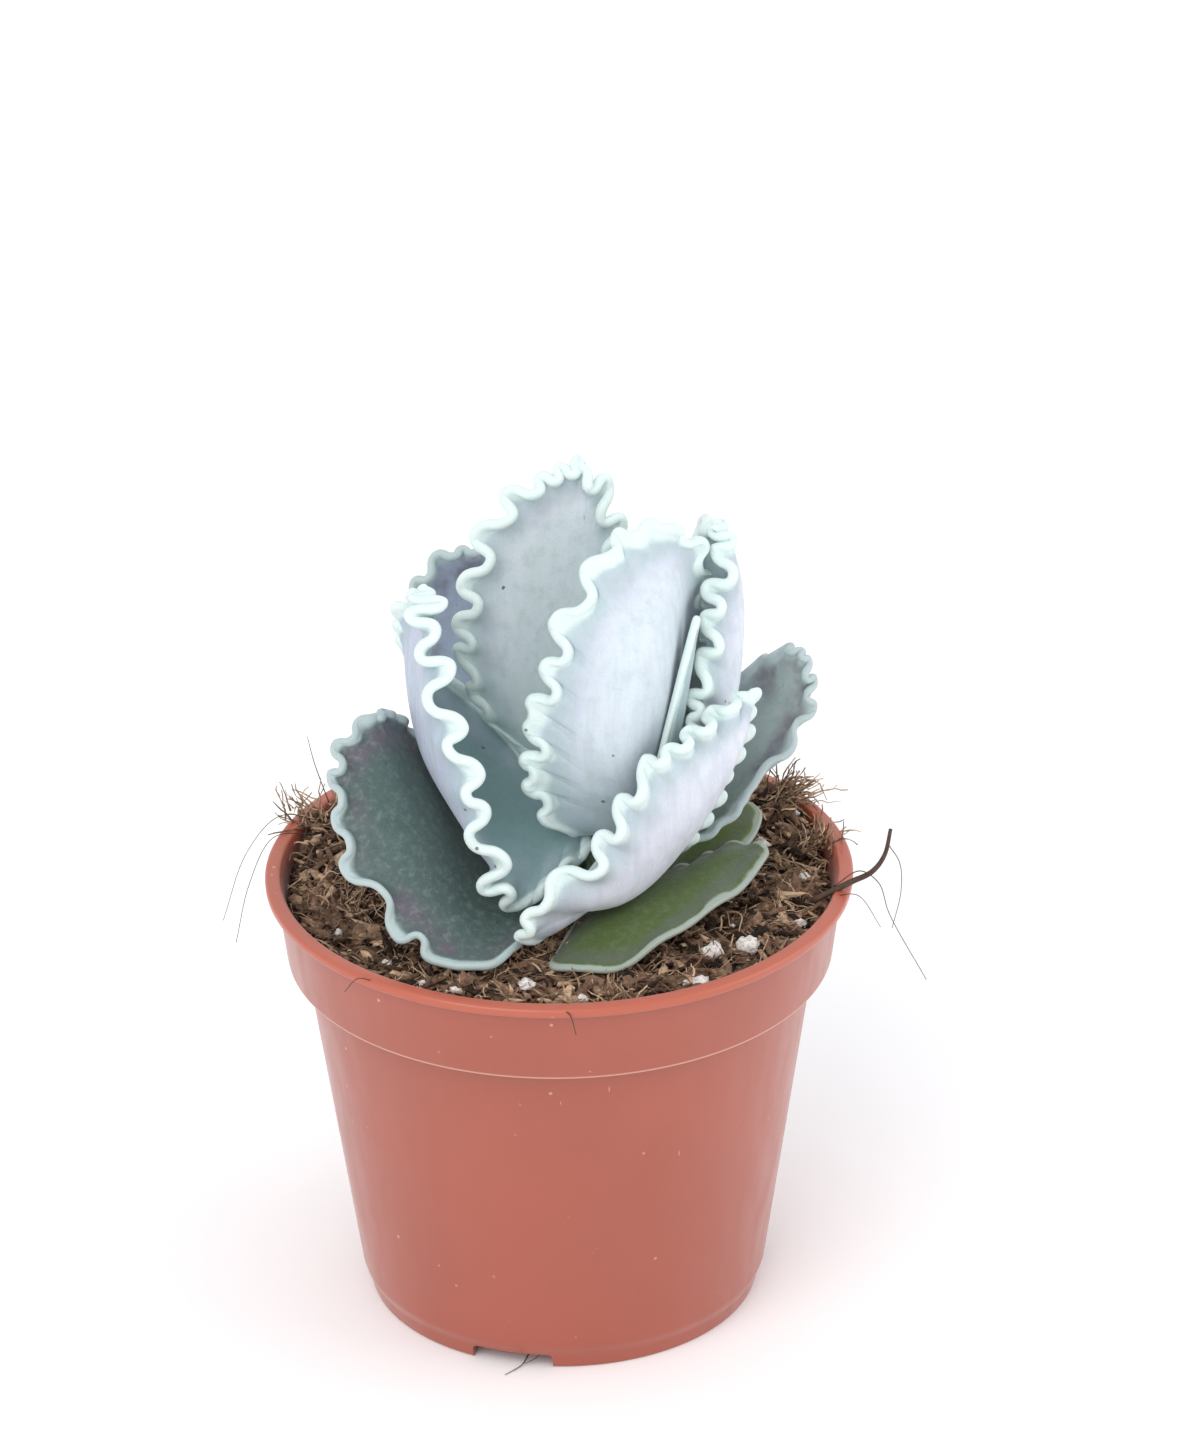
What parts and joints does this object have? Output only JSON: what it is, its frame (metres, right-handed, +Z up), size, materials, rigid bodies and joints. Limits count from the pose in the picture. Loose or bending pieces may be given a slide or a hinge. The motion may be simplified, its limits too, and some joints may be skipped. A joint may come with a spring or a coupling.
{
  "type": "potted succulent plant",
  "caption": "Potted silver-leaved succulent: upright cupped leaves with deeply frilled margins, rooted in coarse soil in a round tapered plastic nursery pot with a collar.",
  "frame": {"origin": "centre of the pot's foot, on the surface that it stands on", "axes": "+Z up along the pot's axis, -Y towards the side that faces the camera in the picture, +X to its right"},
  "size_m": [0.0864, 0.0864, 0.1282],
  "materials": {
    "pot": "satin moulded terracotta-coloured plastic with a fine grain and faint specks",
    "soil": "dry coir and peat potting mix with fibres, crumbs and white perlite grains",
    "stem": "matt green-grey bark with leaf scars",
    "leaf_young": "chalky pale blue-green wax bloom over flesh, mint-white thickened margin",
    "leaf_old": "worn grey-green bloom with purple blotches near a pale margin",
    "leaf_green": "green flesh with little bloom and a grey-white rim"
  },
  "bodies": {
    "root": {"pot": "pot", "soil": "soil", "stem": "stem", "leaf_inner_front": "leaf_young", "leaf_inner_back": "leaf_young", "leaf_second_left": "leaf_young", "leaf_second_right": "leaf_young", "leaf_third_front": "leaf_young", "leaf_third_back": "leaf_old", "leaf_fourth_left": "leaf_old", "leaf_fourth_right": "leaf_old", "leaf_lowest_front": "leaf_green", "leaf_lowest_back": "leaf_green", "leaf_lowest_right": "leaf_green", "leaf_axil": "leaf_young"}
  },
  "joints": []
}
